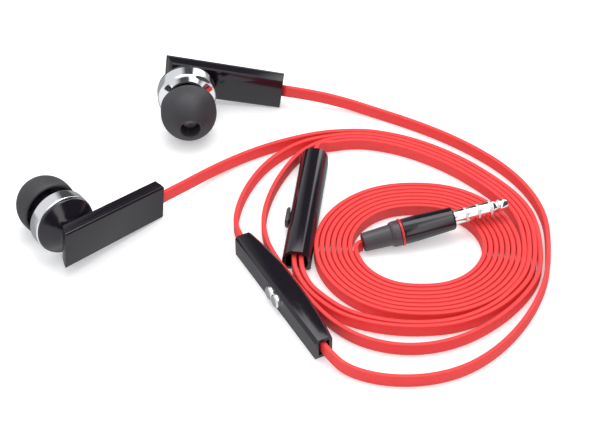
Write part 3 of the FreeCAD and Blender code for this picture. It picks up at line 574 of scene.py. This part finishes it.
class EARPHONES_OT_pods(bpy.types.Operator):
    """Make the pods: rear cup, chrome ring and front housing with its nozzle"""
    bl_idname = "earphones.pods"
    bl_label = "Pods"

    def execute(self, context):
        rim = POD["ring"] - 0.15
        cup_end, ring_end = POD["cup_end"], POD["ring_end"]
        trumpet = [(-0.5, POD["neck"] - 0.1), (0.45, POD["neck"]), (0.75, POD["neck"] + 0.25),
                   (1.9, POD["throat"]), (cup_end - 0.62, rim - 0.08), (cup_end - 0.1, rim),
                   (cup_end, rim - 0.15), (cup_end, rim - 1.2)]
        ring = [(cup_end + 0.03, rim - 1.0), (cup_end + 0.03, rim - 0.1), (cup_end + 0.25, POD["ring"]),
                (ring_end - 0.5, POD["ring"]), (ring_end, POD["ring"] - 0.42),
                (ring_end + 0.86, POD["face"] + 0.1), (ring_end + 0.9, POD["face"]),
                (ring_end + 0.4, POD["face"])]
        nozzle_end = POD["nozzle_end"]
        lip = nozzle_end - 1.4
        front = [(ring_end + 0.3, POD["face"] - 0.02), (ring_end + 0.85, POD["face"] - 0.02),
                 (POD["shoulder"], POD["nozzle"] + 1.4), (POD["shoulder"], POD["nozzle"]),
                 (lip, POD["nozzle"]), (lip + 0.1, POD["lip"]), (nozzle_end - 0.4, POD["lip"]),
                 (nozzle_end, POD["lip"] - 0.3), (nozzle_end, POD["mesh_seat"]),
                 (nozzle_end - 0.6, POD["mesh_seat"]), (nozzle_end - 0.6, POD["bore"]),
                 (ring_end, POD["bore"])]
        for side in ("left", "right"):
            place, axis = pod_start(side)
            turned(side + "_cup_shell", place, axis, rounded(trumpet, 0.5, 6), "gloss_black", "earphones",
                   side + "_rear_cup")
            turned(side + "_ring_plated", place, axis, rounded(ring, 0.22), "chrome_trim", "earphones",
                   side + "_chrome_ring", closed=True)
            turned(side + "_front_shell", place, axis, rounded(front, 0.2), "gloss_black", "earphones",
                   side + "_front_housing")
        return {"FINISHED"}


class EARPHONES_OT_bars(bpy.types.Operator):
    """Ease the edges of the bars, the splitter and the microphone bar as their moulds do"""
    bl_idname = "earphones.bars"
    bl_label = "Bars and housings"

    def execute(self, context):
        for side in ("left", "right"):
            moulded(side + "_stem_cover", 0.16, "gloss_black")
            moulded(side + "_stem_body", 0.12, "gloss_black")
        moulded("splitter_upper_shell", 0.12, "gloss_black")
        moulded("splitter_lower_shell", 0.12, "gloss_black")
        moulded("volume_knob", 0.08, "matt_black", "volume_slider")
        moulded("mic_housing", 0.2, "gloss_black")
        moulded("mic_side_plate", 0.1, "matt_black")
        moulded("mic_button", 0.1, "silver_button", "mic_button")
        return {"FINISHED"}


class EARPHONES_OT_plug(bpy.types.Operator):
    """Make the plug: strain relief, band, barrel and the poles of the jack"""
    bl_idname = "earphones.plug"
    bl_label = "Plug"

    def execute(self, context):
        middle, axis = mount("jack")
        stations = [PLUG["nose"]]
        for key in ("sleeve", "gap", "pole", "gap", "pole", "gap"):
            stations.append(stations[-1] + PLUG[key])
        jack, core_radius = PLUG["jack"], PLUG["core"]
        rear = middle - axis * (PLUG["nose"] + stations[-1] + 0.3) / 2 * MM
        relief_end, band_start, barrel_start = PLUG["relief"], PLUG["band"], PLUG["barrel"]
        inside, collar, band_radius = PLUG["inside"], PLUG["collar"], PLUG["band_radius"]
        relief = [(0.1, 1.2), (0.1, 2.24), (relief_end - 0.1, 2.58), (relief_end + 0.15, collar - 0.2),
                  (relief_end + 0.7, collar), (band_start, collar), (band_start, inside)]
        band = [(band_start, inside), (band_start, band_radius), (barrel_start, band_radius),
                (barrel_start, inside)]
        barrel = [(barrel_start, inside), (barrel_start, 3.08), (barrel_start + 3.6, 3.1),
                  (PLUG["nose"] - 0.35, 2.75), (PLUG["nose"], 2.45), (PLUG["nose"], 1.0)]
        tip = stations[6]
        end = tip + PLUG["point"]
        point = [(tip, 0.9), (tip, jack), (tip + 0.35, jack), (tip + 1.25, 1.2), (tip + 2.0, jack - 0.15),
                 (tip + 2.9, jack - 0.22), (end - 0.5, 1.15), (end, 0.85), (end, 0)]
        pieces = [("plug_relief_sleeve", "plug_strain_relief", "matt_black", rounded(relief, 0.3, 5)),
                  ("plug_band_red", "plug_band", "red_band", rounded(band, 0.12)),
                  ("plug_barrel_turned", "plug_barrel", "gloss_black", rounded(barrel, 0.4, 5)),
                  ("plug_point", "plug_tip", "jack_metal", rounded(point, 0.35, 5))]
        for name, k in (("plug_sleeve", 0), ("plug_rear_ring", 2), ("plug_front_ring", 4)):
            pole = [(stations[k], 1.0), (stations[k], jack), (stations[k + 1], jack),
                    (stations[k + 1], 1.0)]
            pieces.append((name + "_plated", name, "jack_metal", rounded(pole, 0.1)))
        core = [(stations[0] - 0.5, 0)]
        for k in (1, 3, 5):
            core += [(stations[k], core_radius), (stations[k], jack - 0.03), (stations[k + 1], jack - 0.03),
                     (stations[k + 1], core_radius)]
        core += [(tip + 0.1, 0.9), (tip + 0.1, 0)]
        pieces.append(("plug_insulators", "plug_insulator", "insulator", core))
        [turned(name, rear, axis, profile, slot, "earphones", node)
                          for name, node, slot, profile in pieces]
        return {"FINISHED"}


class CordSettings(bpy.types.PropertyGroup):
    cord_colour: bpy.props.FloatVectorProperty(
        name="Cord colour", description="Colour of the elastomer jacket", subtype="COLOR", size=3,
        default=(0.86, 0.045, 0.045), min=0, max=1)
    corner: bpy.props.FloatProperty(
        name="Corner", description="Corner radius of the flat cord's section, in millimetres",
        default=0.3, min=0.05, max=0.44)
    jacket: bpy.props.FloatProperty(
        name="Jacket", default=1.16, min=0.8, max=1.3,
        description="Thickness of the soft jacket, which swells between the turns, in millimetres")


class EARPHONES_OT_cords(bpy.types.Operator):
    """Lay the flat cords on their routes"""
    bl_idname = "earphones.cords"
    bl_label = "Cords"

    def execute(self, context):
        settings = context.scene.earphone_cords
        section = cord_section(CORD_WIDTH, settings.jacket, settings.corner)
        nodes = {"main_cord": ("main_cord_coil", "main_cord"), "left_cord": ("left_cord",),
                 "mic_cord": ("mic_cord",), "right_cord": ("right_cord",)}
        for name, route in routes().items():
            points = spline_points(name, route)
            cord = sweep(name + "_jacket", points, section)
            cord.data.materials.append(finish("red_cord"))
            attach(cord, "earphones")
            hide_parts(*nodes[name])
        return {"FINISHED"}


class EARPHONES_OT_housings(bpy.types.Operator):
    """Give every housing, jack and inner piece its finish"""
    bl_idname = "earphones.housings"
    bl_label = "Housings"

    def execute(self, context):
        for part in frame["record"]["subparts"]:
            node = bpy.data.objects.get(part["node"])
            if node is None:
                raise RuntimeError("missing node " + part["node"])
            materials = node.data.materials
            if not len(materials):
                materials.append(None)
            for k in range(len(materials)):
                materials[k] = finish(part["material_slot"])
        return {"FINISHED"}


class StageSettings(bpy.types.PropertyGroup):
    key_power: bpy.props.FloatProperty(
        name="Key power", default=1.5, min=0, unit="POWER",
        description="Power of the soft box overhead, in watts")
    fill: bpy.props.FloatProperty(
        name="Fill", default=0.95, min=0, description="Strength of the light from all around")
    ceiling: bpy.props.FloatProperty(
        name="Ceiling", default=0.08, min=0,
        description="How bright the room above looks in a polished surface")
    canopy: bpy.props.FloatProperty(
        name="Canopy", default=1.1, min=0,
        description="How bright the cloth overhead looks in a polished surface")


# The camera in metres and degrees, and what the photograph's lens would be
AIM = Vector((0.03574, -0.01206, 0.0))
DISTANCE = 0.45
ELEVATION = 40
LENS = 110.7
SENSOR = 36
TABLE_HALF = 2.0
SOFT_BOX_PLACE = Vector((0.05, 0.15, 0.55))
SOFT_BOX_SIZE = (0.5, 0.35)

# The room that polished surfaces show, by the right, back and up parts of a direction
WALL_FOOT = -0.02
CANOPY_EDGE = 0.8
CANOPY_FORWARD = 0.2
STRIP = (0.22, 0.58)
STRIP_GAIN = 2.0
LEFT_WALL = (0.06, 0.8)
FLOOR = (0.25, 0.4, 0.7)


def photo_camera(scene):
    """A camera that stands where the photograph's camera stood."""
    tilt = math.radians(ELEVATION)
    camera = bpy.data.objects.new("camera", bpy.data.cameras.new("camera"))
    camera.data.lens = LENS
    camera.data.sensor_width = SENSOR
    camera.data.clip_start = 0.01
    camera.location = AIM + Vector((0, -math.cos(tilt), math.sin(tilt))) * DISTANCE
    camera.rotation_euler = (math.radians(90) - tilt, 0, 0)
    scene.collection.objects.link(camera)
    scene.camera = camera


def white_table(scene):
    """A paper table that goes white to the camera and isn't seen in polished surfaces."""
    half = TABLE_HALF
    data = bpy.data.meshes.new("table")
    data.from_pydata([(-half, -half, 0), (half, -half, 0), (half, half, 0), (-half, half, 0)], [],
                     [(0, 1, 2, 3)])
    table = bpy.data.objects.new("table", data)
    scene.collection.objects.link(table)
    made, g = material("table_paper")
    seen = g.node("ShaderNodeLightPath", output=0)
    paper = g.node("ShaderNodeBsdfPrincipled", {}, {"Base Color": (0.90, 0.90, 0.90, 1), "Roughness": 0.6})
    glow = g.node("ShaderNodeEmission", {}, {"Color": (1, 1, 1, 1), "Strength": 0.30})
    lifted = g.node("ShaderNodeAddShader", {}, [paper, glow])
    both = g.node("ShaderNodeMixShader", {}, [seen, paper, lifted])
    g.node("ShaderNodeOutputMaterial", {}, {"Surface": both})
    data.materials.append(made)
    table.visible_glossy = False


def studio(settings):
    """A white surround that polished surfaces see as a dim room with a bright canopy and strip."""
    world = bpy.data.worlds.new("studio")
    world.use_nodes = True
    w = Graph(world.node_tree)
    seen, mirrored, passed = [w.node("ShaderNodeLightPath", output=k) for k in (0, 3, 6)]
    way = w.node("ShaderNodeTexCoord", output=0)
    right, back, height = [w.node("ShaderNodeSeparateXYZ", {}, [way], k) for k in range(3)]
    wall = ((height - WALL_FOOT) * 8.0).clamp()
    canopy = ((height - CANOPY_EDGE + (0.0 - back).clamp() * CANOPY_FORWARD) * 9.0).clamp()
    strip = ((right - STRIP[0]) * 12.0).clamp() * ((STRIP[1] - right) * 12.0).clamp() * wall
    left = ((-LEFT_WALL[0] - right) * 5.0).clamp() * LEFT_WALL[1]
    front = ((FLOOR[0] - back) * 3.0).clamp()
    below = FLOOR[1] + front * FLOOR[2]
    above = (canopy + strip * STRIP_GAIN) * settings.canopy
    room = below * (1.0 - wall) + wall * (settings.ceiling + left) + above
    lit = (seen + passed).clamp()
    strength = lit + (1.0 - lit) * (mirrored * room + (1.0 - mirrored) * settings.fill)
    sky = w.node("ShaderNodeBackground", {}, {"Color": (0.97, 0.98, 1, 1), "Strength": strength})
    w.node("ShaderNodeOutputWorld", {}, {"Surface": sky})
    return world


def soft_box(scene, power):
    lamp = bpy.data.lights.new("soft_box_top", "AREA")
    lamp.shape = "RECTANGLE"
    lamp.size, lamp.size_y = SOFT_BOX_SIZE
    lamp.energy = power
    made = bpy.data.objects.new("soft_box_top", lamp)
    made.location = SOFT_BOX_PLACE
    made.rotation_euler = (AIM - SOFT_BOX_PLACE).to_track_quat("-Z", "Y").to_euler()
    scene.collection.objects.link(made)


class EARPHONES_OT_stage(bpy.types.Operator):
    """Set up the table, the soft box and the camera"""
    bl_idname = "earphones.stage"
    bl_label = "Stage"

    def execute(self, context):
        scene = context.scene
        settings = scene.earphone_stage
        scene.view_settings.view_transform = "Standard"
        photo_camera(scene)
        white_table(scene)
        scene.world = studio(settings)
        soft_box(scene, settings.key_power)
        return {"FINISHED"}


class EARPHONES_PT_panel(bpy.types.Panel):
    """Lists the steps in the 3D view's sidebar"""
    bl_idname = "EARPHONES_PT_panel"
    bl_label = "Wired earphones"
    bl_space_type = "VIEW_3D"
    bl_region_type = "UI"
    bl_category = "Earphones"

    def draw(self, context):
        for name in ("earphone_cords", "earphone_stage"):
            settings = getattr(context.scene, name)
            box = self.layout.box()
            for key in settings.bl_rna.properties.keys():
                if key not in ("rna_type", "name"):
                    box.prop(settings, key)
        for step in STEPS:
            self.layout.operator(step.bl_idname)


GROUPS = {"earphone_cords": CordSettings, "earphone_stage": StageSettings}
STEPS = (EARPHONES_OT_stage, EARPHONES_OT_housings, EARPHONES_OT_tips, EARPHONES_OT_pods,
         EARPHONES_OT_bars, EARPHONES_OT_plug, EARPHONES_OT_cords)


def register():
    for kind in (*GROUPS.values(), *STEPS, EARPHONES_PT_panel):
        bpy.utils.register_class(kind)
    for name, kind in GROUPS.items():
        setattr(bpy.types.Scene, name, bpy.props.PointerProperty(type=kind))


def unregister():
    for name in GROUPS:
        delattr(bpy.types.Scene, name)
    for kind in (EARPHONES_PT_panel, *reversed(STEPS), *GROUPS.values()):
        bpy.utils.unregister_class(kind)


def main():
    register()
    for step in STEPS:
        group, name = step.bl_idname.split(".")
        getattr(getattr(bpy.ops, group), name)()
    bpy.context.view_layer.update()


if __name__ == "__main__":
    main()
